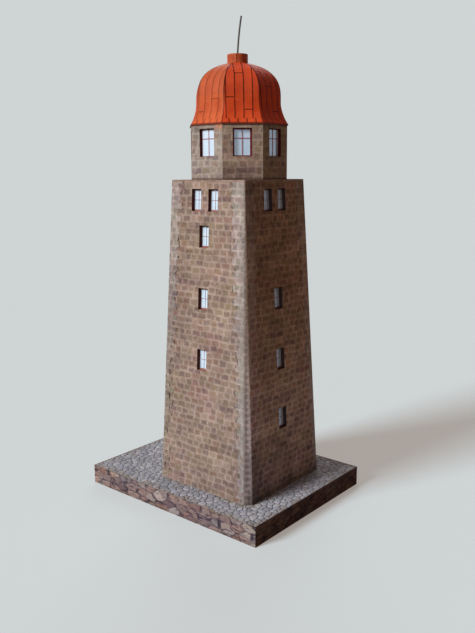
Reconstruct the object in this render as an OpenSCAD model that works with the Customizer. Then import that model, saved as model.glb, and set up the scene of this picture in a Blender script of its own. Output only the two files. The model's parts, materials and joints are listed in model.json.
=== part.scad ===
// Observation tower on a walled terrace, made as a card model.
// Millimetres, +Z up. The origin is the middle of the terrace's underside.
// The front looks towards -Y. Left and right are as seen from the front.

/* [Terrace] */
// Length of the terrace from left to right
terrace_length = 107; // [90:1:150]
// Depth of the terrace from front to back
terrace_depth = 84; // [70:1:120]
// Height of the terrace up to its paving
terrace_height = 9.5; // [6:0.5:20]
// Thickness of the terrace walls
terrace_wall = 2.2; // [1:0.1:4]
// Thickness of the sheet under the terrace
base_sheet = 1; // [0.5:0.1:2]
// Thickness of the paving sheet
paving_sheet = 0.8; // [0.5:0.1:2]
// Distance of the tower's axis to the right of the terrace's middle
tower_shift = 10; // [0:0.5:14]

/* [Shaft] */
// Width of the shaft where it stands on the paving
shaft_foot = 58.6; // [48:0.2:69]
// Width of the shaft at the deck
shaft_head = 44; // [36:0.2:53]
// Height of the shaft from the paving to the top of the deck
shaft_height = 145.5; // [120:0.5:180]
// Thickness of the shaft walls
shaft_wall = 1.8; // [1:0.1:4]
// Width cut off each corner at the foot, measured along the wall
corner_cut_foot = 3.2; // [1:0.1:6]
// Width cut off each corner at the deck, measured along the wall
corner_cut_head = 0.4; // [0.2:0.1:1]
// Thickness of the deck sheet
deck_sheet = 0.8; // [0.5:0.1:2]

/* [Shaft windows] */
// Width of a shaft window
window_width = 5.7; // [3:0.1:7]
// Height of a shaft window
window_height = 10; // [6:0.1:13]
// Height of the lowest window's sill above the paving
first_sill = 29.6; // [20:0.2:38]
// Distance from the twin windows' heads to the top of the deck
twin_head_drop = 4; // [2:0.1:8]
// Step from the sill of the highest single window up to the twin windows' sill
twin_sill_step = 16.3; // [14:0.1:20]
// Distance between the twin windows' middles
twin_spacing = 10.1; // [10:0.1:13]
// Shift of every window line from the wall's middle, to the left from outside
window_shift = 1; // [0:0.1:2]
// Thickness of a window pane
pane_sheet = 0.5; // [0.3:0.1:1]
// How far a pane laps behind the wall all round its opening
pane_lap = 1; // [0.6:0.1:1.4]

/* [Lantern] */
// Distance of the lantern's flat sides inside the deck's edges
lantern_setback = 0.4; // [0.2:0.1:3]
// Height of the lantern walls
lantern_height = 23.9; // [20:0.1:30]
// Thickness of the lantern walls
lantern_wall_sheet = 1.5; // [1:0.1:3]
// Width of a lantern window
lantern_window_width = 8.6; // [5:0.1:10]
// Distance from a lantern window's head to the eave
lantern_head_drop = 1.7; // [1.5:0.1:3]
// Height of the lantern windows' sills above the deck
lantern_sill = 10.1; // [6:0.1:12]

/* [Dome] */
// Thickness of the octagonal plate under the dome
eave_plate_sheet = 0.5; // [0.3:0.1:1.5]
// How far the eave reaches past the lantern walls
eave_overhang = 0.45; // [0.1:0.05:1.2]
// Height of the dome from the eave plate to the collar
dome_height = 27.2; // [23:0.1:34]
// Thickness of the dome's sheet
dome_sheet = 0.8; // [0.4:0.1:1.2]
// Height of the flared skirt above the eave plate
skirt_height = 10.5; // [8:0.1:12]
// How far the skirt flares out beyond the dome's upright part
skirt_flare = 2.95; // [2:0.05:5]
// Height over which the dome rises from upright towards its shoulder
flank_reach = 9.4; // [5:0.1:10]
// Distance over which the crown runs out from the collar towards the shoulder
crown_reach = 10.8; // [8:0.1:11.5]
// Slope of the crown where it meets the collar, in degrees
crown_slope = 15; // [4:1:20]

/* [Collar and mast] */
// Diameter of the collar
collar_diameter = 9.4; // [7:0.1:12]
// Height of the collar above the dome
collar_height = 4; // [3:0.1:8]
// How far the collar is let into the dome
collar_sink = 1.6; // [1:0.1:2.5]
// Thickness of the collar's wall and lid
collar_sheet = 0.6; // [0.4:0.1:1]
// Gap between the collar and the dome's edges
collar_gap = 0.05; // [0.02:0.01:0.1]
// Diameter of the mast
mast_diameter = 0.8; // [0.5:0.05:1.2]
// Length of the mast above the collar
mast_length = 16.7; // [10:0.1:24]
// Length of the mast inside the collar
mast_foot = 3; // [1.5:0.1:4]
// Lean of the mast where it leaves the collar, in degrees
mast_lean = 3; // [0:0.5:4]
// Further bend of the mast up to its tip, in degrees
mast_bend = 6; // [2:0.5:20]
// Direction in which the mast leans, in degrees from +X
mast_direction = 40; // [0:5:355]
// Gap between the mast and its hole
mast_gap = 0.1; // [0.08:0.01:0.2]

/* [Hidden] */
$fn = 64;
BIG = 400;
SIDES = ["front", "right", "back", "left"];
OCTANTS = ["front", "front_right", "right", "back_right", "back", "back_left", "left", "front_left"];

// Storeys with a single window on each side, counted from the lowest
SINGLE_STOREYS = [[1, 2, 3], [0, 1, 2], [1, 2, 3], [0, 1, 2]];
TOP_STOREY = 3;
HALF_OCTANT = 22.5;
CURVE_STEPS = 8;

lantern_half = shaft_head / 2 - lantern_setback;
eave_half = lantern_half + eave_overhang;
waist_half = eave_half - skirt_flare;
collar_radius = collar_diameter / 2;
crown_hole_half = collar_radius + collar_gap;
mast_radius = mast_diameter / 2;

deck_top = terrace_height + shaft_height;
lantern_top = deck_top + lantern_height;
dome_foot = lantern_top + eave_plate_sheet;
dome_top = dome_foot + dome_height;
collar_top = dome_top + collar_height;

twin_sill = shaft_height - twin_head_drop - window_height;
storey_height = (twin_sill - twin_sill_step - first_sill) / TOP_STOREY;

// Places the tower's own pieces, whose axis stands off the terrace's middle
module on_tower_axis(height) {
    translate([tower_shift, 0, height])
        children();
}

// Terrace ------------------------------------------------------------

module terrace_base() {
    color("dimgray")
        translate([-terrace_length / 2, -terrace_depth / 2, 0])
            cube([terrace_length, terrace_depth, base_sheet]);
}

module terrace_paving() {
    color("slategray")
        translate([-terrace_length / 2, -terrace_depth / 2, terrace_height - paving_sheet])
            cube([terrace_length, terrace_depth, paving_sheet]);
}

// A wall facing -Y with mitred ends; length is its outer length
module mitred_wall(length, reach, thickness, height) {
    linear_extrude(height)
        polygon([
            [-length / 2, -reach],
            [length / 2, -reach],
            [length / 2 - thickness, thickness - reach],
            [thickness - length / 2, thickness - reach]
        ]);
}

module terrace_wall(side) {
    along_x = side % 2 == 0;
    length = along_x ? terrace_length : terrace_depth;
    reach = (along_x ? terrace_depth : terrace_length) / 2;
    color("rosybrown")
        translate([0, 0, base_sheet])
            rotate(90 * side)
                mitred_wall(length, reach, terrace_wall, terrace_height - base_sheet - paving_sheet);
}

// Shaft --------------------------------------------------------------

// A block whose two sides lean in from foot to head, drawn on from low to high
module battered_block(foot_half, head_half, low, high) {
    lean = (head_half - foot_half) / shaft_height;
    rotate([90, 0, 0])
        translate([0, 0, -BIG / 2])
            linear_extrude(BIG)
                polygon([
                    [-foot_half - lean * low, low],
                    [foot_half + lean * low, low],
                    [foot_half + lean * high, high],
                    [-foot_half - lean * high, high]
                ]);
}

// The shaft's outer form pushed in by inset: a square with its corners cut off
module shaft_form(inset, low, high) {
    foot_half = shaft_foot / 2;
    head_half = shaft_head / 2;
    foot_diagonal = (shaft_foot - corner_cut_foot) / sqrt(2);
    head_diagonal = (shaft_head - corner_cut_head) / sqrt(2);
    intersection() {
        battered_block(foot_half - inset, head_half - inset, low, high);
        rotate(90)
            battered_block(foot_half - inset, head_half - inset, low, high);
        rotate(45)
            battered_block(foot_diagonal - inset, head_diagonal - inset, low, high);
        rotate(135)
            battered_block(foot_diagonal - inset, head_diagonal - inset, low, high);
    }
}

// The quarter that faces -Y, between the shaft's two diagonals
module front_quarter() {
    translate([0, 0, -BIG / 2])
        linear_extrude(BIG)
            polygon([[0, 0], [-BIG, -BIG], [BIG, -BIG]]);
}

// Blocks through the wall that faces -Y at each window, grown by lap
module window_blocks(storeys, lap) {
    singles = [for (storey = storeys) [0, first_sill + storey * storey_height]];
    twins = [for (way = [-1, 1]) [way * twin_spacing / 2, twin_sill]];
    for (place = concat(singles, twins))
        translate([place[0] - window_shift - window_width / 2 - lap, -shaft_foot, place[1] - lap])
            cube([window_width + 2 * lap, shaft_foot, window_height + 2 * lap]);
}

module shaft_wall_panel(side) {
    color("rosybrown")
        on_tower_axis(terrace_height)
            rotate(90 * side)
                difference() {
                    intersection() {
                        shaft_form(0, 0, shaft_height - deck_sheet);
                        front_quarter();
                    }
                    shaft_form(shaft_wall, -1, shaft_height + 1);
                    window_blocks(SINGLE_STOREYS[side], 0);
                }
}

// Panes that lie flat against the wall's inner face
module shaft_windows(side) {
    color("lightsteelblue")
        on_tower_axis(terrace_height)
            rotate(90 * side)
                intersection() {
                    difference() {
                        shaft_form(shaft_wall, 0, shaft_height - deck_sheet);
                        shaft_form(shaft_wall + pane_sheet, -1, shaft_height + 1);
                    }
                    window_blocks(SINGLE_STOREYS[side], pane_lap);
                }
}

module deck() {
    color("dimgray")
        on_tower_axis(terrace_height)
            shaft_form(0, shaft_height - deck_sheet, shaft_height);
}

// Lantern ------------------------------------------------------------

// An eighth of an octagonal ring, facing -Y
module octagon_side(outer_half, inner_half, height) {
    linear_extrude(height)
        polygon([
            [-outer_half * tan(HALF_OCTANT), -outer_half],
            [outer_half * tan(HALF_OCTANT), -outer_half],
            [inner_half * tan(HALF_OCTANT), -inner_half],
            [-inner_half * tan(HALF_OCTANT), -inner_half]
        ]);
}

lantern_window_height = lantern_height - lantern_head_drop - lantern_sill;
lantern_inner_half = lantern_half - lantern_wall_sheet;

module lantern_wall(octant) {
    color("rosybrown")
        on_tower_axis(deck_top)
            rotate(45 * octant)
                difference() {
                    octagon_side(lantern_half, lantern_inner_half, lantern_height);
                    translate([-lantern_window_width / 2, -shaft_head, lantern_sill])
                        cube([lantern_window_width, shaft_head, lantern_window_height]);
                }
}

module lantern_window(octant) {
    color("lightsteelblue")
        on_tower_axis(deck_top)
            rotate(45 * octant)
                translate([
                    -lantern_window_width / 2 - pane_lap,
                    -lantern_inner_half,
                    lantern_sill - pane_lap
                ])
                    cube([
                        lantern_window_width + 2 * pane_lap,
                        pane_sheet,
                        lantern_window_height + 2 * pane_lap
                    ]);
}

// Dome ---------------------------------------------------------------

module eave_plate() {
    color("chocolate")
        on_tower_axis(lantern_top)
            rotate(HALF_OCTANT)
                cylinder(h = eave_plate_sheet, r = eave_half / cos(HALF_OCTANT), $fn = 8);
}

// Point on a cubic curve from a to d, drawn towards b and c
function cubic_point(a, b, c, d, t) =
    pow(1 - t, 3) * a + 3 * pow(1 - t, 2) * t * b + 3 * (1 - t) * t * t * c + pow(t, 3) * d;

// Half width of the skirt at a height above the eave plate
function skirt_half(height) = waist_half + skirt_flare * pow(1 - height / skirt_height, 2);

// The dome's outer line as [half width, height], from just under the eave plate's
// top to just inside the collar
crown_point = [crown_hole_half, dome_height];
crown_direction = [cos(crown_slope), -sin(crown_slope)];
skirt_line = [
    for (step = [-1:CURVE_STEPS - 1])
        let (height = skirt_height * step / CURVE_STEPS)
            [skirt_half(height), height]
];
bell_line = [
    for (step = [0:2 * CURVE_STEPS])
        cubic_point(
            [waist_half, skirt_height],
            [waist_half, skirt_height + flank_reach],
            crown_point + crown_reach * crown_direction,
            crown_point,
            step / (2 * CURVE_STEPS)
        )
];
dome_line = concat(skirt_line, bell_line, [crown_point - crown_direction]);

// Direction square to a line at point i, towards its left
function left_of(line, i) =
    let (run = line[min(i + 1, len(line) - 1)] - line[max(i - 1, 0)])
        [-run[1], run[0]] / norm(run);

dome_inner_line = [
    for (i = [0:len(dome_line) - 1])
        dome_line[i] + dome_sheet * left_of(dome_line, i)
];

// The sheet of the gore that faces -Y, before its sides are cut
module gore_sheet() {
    outline = concat(dome_line, [for (i = [len(dome_line) - 1:-1:0]) dome_inner_line[i]]);
    rotate([90, 0, -90])
        translate([0, 0, -BIG / 2])
            linear_extrude(BIG)
                polygon(outline);
}

module dome_gore(octant) {
    color("orangered")
        on_tower_axis(dome_foot)
            rotate(45 * octant)
                intersection() {
                    gore_sheet();
                    octagon_side(eave_half + 1, crown_hole_half, dome_height + 1);
                }
}

// Collar and mast ----------------------------------------------------

module collar() {
    color("orangered")
        on_tower_axis(dome_top - collar_sink)
            difference() {
                cylinder(h = collar_sink + collar_height, r = collar_radius);
                translate([0, 0, -1])
                    cylinder(
                        h = collar_sink + collar_height - collar_sheet + 1,
                        r = collar_radius - collar_sheet
                    );
                cylinder(h = collar_sink + collar_height + 1, r = mast_radius + mast_gap);
            }
}

// The wire leaves the collar with a lean and bends on evenly to its tip
module mast() {
    bend_radius = mast_length / (mast_bend * PI / 180);
    color("dimgray")
        on_tower_axis(collar_top)
            rotate([0, mast_lean, mast_direction]) {
                translate([0, 0, -mast_foot])
                    cylinder(h = mast_foot, r = mast_radius);
                translate([bend_radius, 0, 0])
                    rotate([90, 0, 180])
                        rotate_extrude(angle = mast_bend)
                            translate([bend_radius, 0])
                                circle(r = mast_radius);
            }
}

// Assembly -----------------------------------------------------------

terrace_base();
terrace_paving();
for (side = [0:3]) {
    terrace_wall(side);
    shaft_wall_panel(side);
    shaft_windows(side);
}
deck();
for (octant = [0:7]) {
    lantern_wall(octant);
    lantern_window(octant);
    dome_gore(octant);
}
eave_plate();
collar();
mast();
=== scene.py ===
"""Looks of the observation tower: a printed card model on a walled, paved terrace."""

import json
import math
import random

import bmesh
import bpy
import numpy as np
from mathutils import Matrix, Vector, noise

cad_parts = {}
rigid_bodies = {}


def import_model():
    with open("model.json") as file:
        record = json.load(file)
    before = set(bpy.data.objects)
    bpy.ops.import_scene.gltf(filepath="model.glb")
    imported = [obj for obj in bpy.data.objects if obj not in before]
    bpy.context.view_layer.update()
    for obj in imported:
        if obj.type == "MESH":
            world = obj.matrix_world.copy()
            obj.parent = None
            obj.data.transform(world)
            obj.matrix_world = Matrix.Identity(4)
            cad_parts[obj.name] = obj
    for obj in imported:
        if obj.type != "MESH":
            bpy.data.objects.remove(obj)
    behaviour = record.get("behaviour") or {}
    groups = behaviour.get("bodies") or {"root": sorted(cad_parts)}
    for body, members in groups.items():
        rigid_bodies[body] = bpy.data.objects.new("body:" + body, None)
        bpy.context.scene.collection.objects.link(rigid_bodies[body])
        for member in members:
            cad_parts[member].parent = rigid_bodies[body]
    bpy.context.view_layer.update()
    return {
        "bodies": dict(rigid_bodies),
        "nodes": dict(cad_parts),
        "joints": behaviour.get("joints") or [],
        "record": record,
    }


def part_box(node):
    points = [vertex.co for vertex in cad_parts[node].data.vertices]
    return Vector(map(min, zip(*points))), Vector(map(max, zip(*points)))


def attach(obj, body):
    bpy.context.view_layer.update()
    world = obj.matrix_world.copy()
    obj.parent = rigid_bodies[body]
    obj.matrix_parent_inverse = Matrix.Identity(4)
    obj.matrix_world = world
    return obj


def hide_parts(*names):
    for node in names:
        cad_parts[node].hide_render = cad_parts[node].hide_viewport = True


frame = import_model()

# --- Names and places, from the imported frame. Lengths are in millimetres

MM = 1000.0
SIDES = ["front", "right", "back", "left"]
LIT_SIDES = ["front", "back"]
OCTANTS = ["front", "front_right", "right", "back_right",
           "back", "back_left", "left", "front_left"]
QUARTER_TURN = math.pi / 2
EIGHTH_TURN = math.pi / 4
HALF_OCTANT = math.pi / 8


def box_mm(node):
    """A CAD node's lowest and highest corners in millimetres."""
    low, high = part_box(node)
    return low * MM, high * MM


DECK_LOW, DECK_HIGH = box_mm("deck")
EAVE_LOW, EAVE_HIGH = box_mm("eave_plate")
COLLAR_LOW, COLLAR_HIGH = box_mm("collar")
TERRACE_X, TERRACE_Y, PAVING_TOP = box_mm("terrace_paving")[1]
FOOT_HALF = -box_mm("shaft_wall_front")[0].y
LANTERN_HALF = -box_mm("lantern_wall_front")[0].y

AXIS_X = (DECK_LOW.x + DECK_HIGH.x) / 2
DECK_TOP = DECK_HIGH.z
HEAD_HALF = (DECK_HIGH.x - DECK_LOW.x) / 2
SHAFT_HEIGHT = DECK_TOP - PAVING_TOP
BATTER = (FOOT_HALF - HEAD_HALF) / SHAFT_HEIGHT
LANTERN_HEIGHT = EAVE_LOW.z - DECK_TOP
DOME_FOOT = EAVE_HIGH.z
EAVE_HALF = (EAVE_HIGH.x - EAVE_LOW.x) / 2
COLLAR_RADIUS = (COLLAR_HIGH.x - COLLAR_LOW.x) / 2

# Sizes inside a node's box, as part.scad has them

CORNER_CUT_FOOT = 3.2
CORNER_CUT_HEAD = 0.4
WINDOW_SIZE = (5.7, 10.0)
WINDOW_SHIFT = 1.0
FIRST_SILL = 29.6
TWIN_SPACING = 10.1
WINDOWS_REACH = 13.0
TWIN_SILL = SHAFT_HEIGHT - 4.0 - WINDOW_SIZE[1]
STOREY_HEIGHT = (TWIN_SILL - 16.3 - FIRST_SILL) / 3
FIRST_STOREY = {"front": 1, "right": 0, "back": 1, "left": 0}
LANTERN_SILL = 10.1
DOME_HEIGHT = 27.2
SKIRT_HEIGHT = 10.5
SKIRT_FLARE = 2.95
FLANK_REACH = 9.4
CROWN_REACH = 10.8
CROWN_SLOPE = math.radians(15)
PAVING_SHEET = 0.8


def srgb(*levels):
    """An 8-bit sRGB colour as the linear values that Blender takes."""
    shares = [level / 255 for level in levels]
    return tuple(s / 12.92 if s <= 0.04045 else ((s + 0.055) / 1.055) ** 2.4 for s in shares)


def palette(*colours):
    """Several 8-bit sRGB colours."""
    return [srgb(*colour) for colour in colours]


# --- Node arithmetic


def operation(name, swapped=False):
    """A method of Field that adds one maths node."""
    def method(*values):
        return values[0].net.math(name, *(values[::-1] if swapped else values))
    return method


class Field:
    """What a node puts out, with arithmetic for numbers that adds more nodes."""

    __add__ = __radd__ = operation("ADD")
    __mul__ = __rmul__ = operation("MULTIPLY")
    __sub__ = operation("SUBTRACT")
    __rsub__ = operation("SUBTRACT", swapped=True)
    __truediv__ = operation("DIVIDE")
    __abs__ = operation("ABSOLUTE")
    floor = operation("FLOOR")
    fract = operation("FRACT")
    above = operation("GREATER_THAN")
    below = operation("LESS_THAN")
    least = operation("MINIMUM")
    most = operation("MAXIMUM")

    def __init__(self, net, socket):
        self.net = net
        self.socket = socket

    def near_whole(self):
        """The distance to the nearest whole number."""
        part = self.fract()
        return part.least(1.0 - part)

    def choose(self, first, second):
        """first where this is 0 and second where it is 1, for numbers."""
        return first + (second - first) * self

    def rise(self, low, high):
        """0 up to low and 1 from high, smooth between them."""
        values = (self, low, high)
        return self.net.out("ShaderNodeMapRange", values, interpolation_type="SMOOTHSTEP")


class Tree:
    """A node tree, emptied, with short ways to fill it."""

    def __init__(self, owner):
        owner.use_nodes = True
        self.tree = owner.node_tree
        self.tree.nodes.clear()

    def put(self, socket, value):
        """Links a field, or sets a number, a vector or an opaque colour."""
        if isinstance(value, Field):
            self.tree.links.new(value.socket, socket)
        elif isinstance(value, tuple):
            socket.default_value = (*value, 1.0)[:len(socket.default_value)]
        else:
            socket.default_value = value

    def node(self, kind, inputs=(), **settings):
        """A node whose inputs come in order, or by name or number."""
        made = self.tree.nodes.new(kind)
        for name, value in settings.items():
            setattr(made, name, value)
        for key, value in inputs.items() if isinstance(inputs, dict) else enumerate(inputs):
            self.put(made.inputs[key], value)
        return made

    def out(self, kind, inputs=(), output=0, **settings):
        """One output of a new node, as a field."""
        return Field(self, self.node(kind, inputs, **settings).outputs[output])

    def math(self, name, *values):
        """One maths node."""
        return self.out("ShaderNodeMath", values, operation=name)

    def end(self, output, unseen, seen):
        """Ends with one shader for light, and one for camera, glossy and transmission rays."""
        rays = ("Is Camera Ray", "Is Glossy Ray", "Is Transmission Ray")
        camera, glossy, transmission = (self.out("ShaderNodeLightPath", (), ray) for ray in rays)
        sees = camera.most(glossy).most(transmission)
        self.node(output, (self.out("ShaderNodeMixShader", (sees, unseen, seen)),))


class Net(Tree):
    """One material's nodes, with a Principled shader at their end."""

    def __init__(self, name, roughness, specular, more=()):
        self.material = bpy.data.materials.new(name)
        super().__init__(self.material)
        sockets = {"Roughness": roughness, "Specular IOR Level": specular, **dict(more)}
        self.shader = self.node("ShaderNodeBsdfPrincipled", sockets)
        self.node("ShaderNodeOutputMaterial", (Field(self, self.shader.outputs[0]),))

    def vector(self, *values):
        """Two or three numbers as a vector."""
        return self.out("ShaderNodeCombineXYZ", values)

    def split(self, vector):
        """A vector or colour as three numbers."""
        return [self.out("ShaderNodeSeparateXYZ", (vector,), axis) for axis in range(3)]

    def scaled(self, colour, factor):
        """A colour or vector times a number."""
        inputs = {0: colour, "Scale": factor}
        return self.out("ShaderNodeVectorMath", inputs, operation="SCALE")

    def place(self, turn=0.0, axis_x=AXIS_X):
        """Millimetres from a vertical axis, turned so that the wall there faces -Y."""
        spot = self.out("ShaderNodeTexCoord", (), "Object")
        inputs = (spot, (axis_x / MM, 0.0, 0.0), (0.0, 0.0, turn), (1 / MM,) * 3)
        return self.split(self.out("ShaderNodeMapping", inputs, vector_type="TEXTURE"))

    def normal(self):
        """The surface's direction."""
        return self.out("ShaderNodeNewGeometry", (), "Normal")

    def noise(self, where, scale, detail=2.0, roughness=0.5):
        """Noise from 0 to 1 about 0.5; scale is in features for each millimetre."""
        inputs = {"Vector": where, "Scale": scale, "Detail": detail, "Roughness": roughness}
        return self.out("ShaderNodeTexNoise", inputs, "Fac")

    def wobble(self, where, scale, reach, detail=2.0):
        """Noise about 0, over a range of reach."""
        return (self.noise(where, scale, detail) - 0.5) * reach

    def pick(self, first, second):
        """A random number for each pair of numbers."""
        inputs = {"Vector": self.vector(first, second)}
        return self.out("ShaderNodeTexWhiteNoise", inputs, "Value", noise_dimensions="2D")

    def voronoi(self, where, dimensions, scale, scatter):
        """Random cells: three random numbers for each, and the distance to its edge."""
        start = "W" if dimensions == "1D" else "Vector"
        inputs = {start: where, "Scale": scale, "Randomness": scatter}
        picks, edge = (
            self.out("ShaderNodeTexVoronoi", inputs, output,
                     voronoi_dimensions=dimensions, feature=feature)
            for feature, output in (("F1", "Color"), ("DISTANCE_TO_EDGE", "Distance")))
        return self.split(picks), edge

    def mix(self, factor, first, second, blend="MIX"):
        """first where factor is 0 and second where it is 1, for colours."""
        inputs = {0: factor, 6: first, 7: second}
        return self.out("ShaderNodeMix", inputs, 2, data_type="RGBA", blend_type=blend)

    def tinted(self, colour, tint, amount=1.0):
        """The colour times a tint, as far as amount says."""
        return self.mix(amount, colour, tint, "MULTIPLY")

    def ramp(self, factor, colours):
        """Colours spread evenly from factor 0 to 1."""
        made = self.node("ShaderNodeValToRGB", (factor,))
        elements = made.color_ramp.elements
        elements.remove(elements[1])
        for index, colour in enumerate(colours):
            element = elements.new(index / (len(colours) - 1)) if index else elements[0]
            element.color = (*colour, 1.0)
        return Field(self, made.outputs[0])

    def bump(self, height, distance, direction=None):
        """Relief from a height field; distance is in millimetres."""
        inputs = {"Height": height, "Distance": distance / MM}
        if direction is not None:
            inputs["Normal"] = direction
        self.put(self.shader.inputs["Normal"], self.out("ShaderNodeBump", inputs))

    def paint(self, colour):
        """Gives the shader its colour, and hands the material over."""
        self.put(self.shader.inputs["Base Color"], colour)
        return self.material


# --- Printed stone

COURSE = 2.95
ROUNDING = 0.75
STONE_WIDTH = 4.3
QUOIN_WIDTH = 3.6
LANTERN_STONE_WIDTH = 4.0
PRINT_RELIEF = 0.04
FOLD = 0.8
REVEAL_START = (0.06, 0.16)

STONES = palette(
    (104, 78, 70), (140, 108, 90), (112, 88, 88), (142, 120, 94), (128, 92, 78),
    (150, 126, 110), (116, 90, 88), (124, 104, 86), (154, 126, 112), (108, 88, 80))
JOINT = srgb(184, 161, 148)
OLIVE_TINT = (1.0, 1.0, 0.82)
MAUVE_TINT = (0.98, 0.86, 0.92)
HANDLED = srgb(152, 130, 118)
SCUFF = srgb(212, 203, 196)

QUOINS = palette(
    (126, 110, 102), (146, 132, 120), (126, 112, 112), (156, 142, 132), (134, 130, 114),
    (150, 128, 120), (162, 150, 140))
QUOIN_JOINT = srgb(184, 172, 163)
QUOIN_TINT = (1.02, 0.98, 1.01)
QUOIN_LOW_TINT = (0.88, 0.83, 0.7)
QUOIN_REACH = (4.6, 4.2)
QUOIN_OUTLINES = palette((72, 52, 44), (96, 84, 76))
FACET_STONES = palette((112, 98, 100), (128, 112, 112), (120, 102, 98), (138, 124, 122))
FACET_JOINT = srgb(164, 146, 137)
STRIP = srgb(156, 152, 142)

# Tints towards the foot and the top of each wall. On the right wall they are painted light: the
# paler, bluer foot stands in for light bounced from the floor, the darker, warmer top for shade.
# On the other walls the foot is darker and greyer, and the front's top a little bluer.
LOW_TINT = {"front": (0.86, 0.93, 0.99), "right": (1.06, 1.18, 1.34),
            "back": (0.9, 0.94, 0.96), "left": (0.9, 0.94, 0.96)}
HIGH_TINT = {"front": (0.97, 1.03, 1.05), "right": (0.84, 0.77, 0.67)}
NEAR_TINT = (1.0, 1.01, 1.13)

RAW_EDGE = srgb(84, 80, 84)
REVEAL = srgb(80, 40, 38)
REVEAL_HEAD = srgb(112, 48, 44)
REVEAL_SILL = srgb(146, 104, 94)
# Painted shade: a darker copy of the sill colour, for the right and left walls.
REVEAL_SILL_PAINTED_SHADE = srgb(84, 46, 42)


def course_of_stones(net, u, v, width, seed):
    """Random numbers for each stone, the distance to its joint, and its row."""
    row = (v / COURSE).floor()
    picks, edge = net.voronoi(u / width + row * 37.719 + seed, "1D", 1.0, 0.75)
    across = (v / COURSE).fract() + (picks[2] - 0.5) * 0.2
    beside = edge * width - 0.08
    above = across.least(1.0 - across) * COURSE
    side = (ROUNDING - beside).most(0.0)
    level = (ROUNDING - above).most(0.0)
    rounded_off = ROUNDING - net.math("SQRT", side * side + level * level)
    return picks, rounded_off.least(beside.least(above)), row


def stone_print(net, u, v, seed, width, colours=STONES, joint=JOINT):
    """Coursed stones with dark, soft-edged middles, as they are printed on card."""
    where = net.vector(u, v, seed)
    wavy_u = u + net.wobble(where, 0.5, 0.9)
    wavy_v = v + (net.wobble(where, 0.1, 1.7, 1.0) + net.wobble(where, 0.7, 0.6))
    picks, inside, row = course_of_stones(net, wavy_u, wavy_v, width, seed)
    grain = net.noise(where, 2.4, 3.0, 0.65)
    blotch = net.noise(where, 0.8)
    soft = inside + (blotch - 0.5) * 1.1 + (grain - 0.5) * 1.3
    stone = net.ramp(picks[0] * 0.86 + blotch * 0.14, colours)
    stone = net.scaled(stone, 0.9 + picks[1] * 0.36 + (grain - 0.5) * 0.45)
    stone = net.scaled(stone, 1.0 - soft.rise(0.6, 1.4) * (0.06 + blotch * 0.2))
    faded = net.noise(where, 0.33).rise(0.4, 0.66) * 0.5
    line = net.mix(faded, net.scaled(joint, 0.88 + grain * 0.24), stone)
    colour = net.mix(soft.rise(-0.15, 1.15), line, stone)
    band = net.noise(net.vector(u * 0.05, row * 3.3, seed), 1.0, 1.0)
    colour = net.scaled(colour, 0.88 + band.rise(0.34, 0.6) * 0.16)
    drift = net.noise(where, 0.055)
    colour = net.tinted(colour, OLIVE_TINT, drift.rise(0.5, 0.7) * 0.4)
    colour = net.tinted(colour, MAUVE_TINT, drift.rise(0.5, 0.3) * 0.7)
    return colour, soft


def bump_print(net, soft, where, direction=None):
    """The faint relief of printed stones: flat joints and a fine grain."""
    net.bump(soft.rise(0.0, 0.6) + net.noise(where, 5.0) * 0.6, PRINT_RELIEF, direction)


def quoins(net, colour, u, v, edge, near_fade, outlined, seed):
    """Paler, greyer corner stones, long and short in turn, in a broken dark outline."""
    where = net.vector(u, v, seed + 40.0)
    row = (v / COURSE + 0.2).floor()
    side = u.above(0.0)
    long_row = (row * 0.5).fract().above(0.25)
    reach = side.choose(*QUOIN_REACH) + long_row * 1.7 + net.pick(row, side) * 1.6
    reach = reach + v.rise(60.0, 125.0) * side * 1.5
    reach = reach * side.choose(near_fade, 1.0)
    within = reach - edge + net.wobble(where, 0.6, 1.6)
    blocks = stone_print(net, u, v, seed + 3.0, QUOIN_WIDTH, QUOINS, QUOIN_JOINT)[0]
    blotch = net.noise(where, 0.28, 3.0, 0.6)
    streak = net.noise(net.vector(u * 1.4, v * 0.3, seed), 0.6)
    lighter = v.rise(80.0, 125.0) * side.choose(0.16, 0.06)
    blocks = net.scaled(blocks, 0.76 + blotch * 0.3 + streak * 0.14 + lighter)
    blocks = net.tinted(blocks, QUOIN_TINT)
    blocks = net.tinted(blocks, QUOIN_LOW_TINT, v.rise(100.0, 20.0) * (1.0 - side))
    colour = net.mix(within.rise(-0.35, 0.45), colour, blocks)
    line = abs(within).rise(0.6, 0.1) * net.noise(where, 0.42).rise(0.44, 0.58)
    strength = side.choose(outlined, 0.85)
    return net.mix(line * strength, colour, net.mix(side, *QUOIN_OUTLINES))


def corner_cut(net, colour, u, v, beyond, seed, opened):
    """One mauve-grey stone to a course on the cut corner, beside a pale strip or open gaps."""
    where = net.vector(u, v, seed + 80.0)
    grain = net.noise(where, 1.2, 3.0, 0.6)
    strip = beyond.rise(-0.4, 0.2) * (beyond + (grain - 0.5) * 3.0).rise(3.4, 1.0)
    strip = strip * v.rise(105.0, 55.0) * u.above(0.0)
    strip = strip * net.noise(where, 0.4, 3.0, 0.6).rise(0.36, 0.6)
    colour = net.mix(strip * 0.75, colour, net.scaled(STRIP, 0.75 + grain * 0.5))
    level = v / COURSE + 0.35
    above = (level + net.wobble(where, 0.2, 0.4)).near_whole() * COURSE
    inside = above.least(0.0 - beyond) + (grain - 0.5) * 1.6
    tone = 0.8 + grain * 0.4
    stone = net.scaled(net.ramp(net.pick(level.floor(), seed), FACET_STONES), tone)
    stone = net.mix(inside.rise(0.0, 1.3), net.scaled(FACET_JOINT, tone), stone)
    colour = net.mix(beyond.rise(0.3, -0.4), colour, stone)
    gaps = abs(beyond - 0.2).rise(0.45, 0.1) * net.noise(where, 0.24, 3.0).rise(0.5, 0.58)
    return net.mix(gaps * u.below(0.0) * opened, colour, QUOIN_OUTLINES[0])


def heading(net, x, y, turn):
    """A direction at a battered wall that faces -Y, turned to its own side."""
    return net.vector(*Matrix.Rotation(turn, 3, "Z") @ Vector((x, y, BATTER)).normalized())


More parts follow.
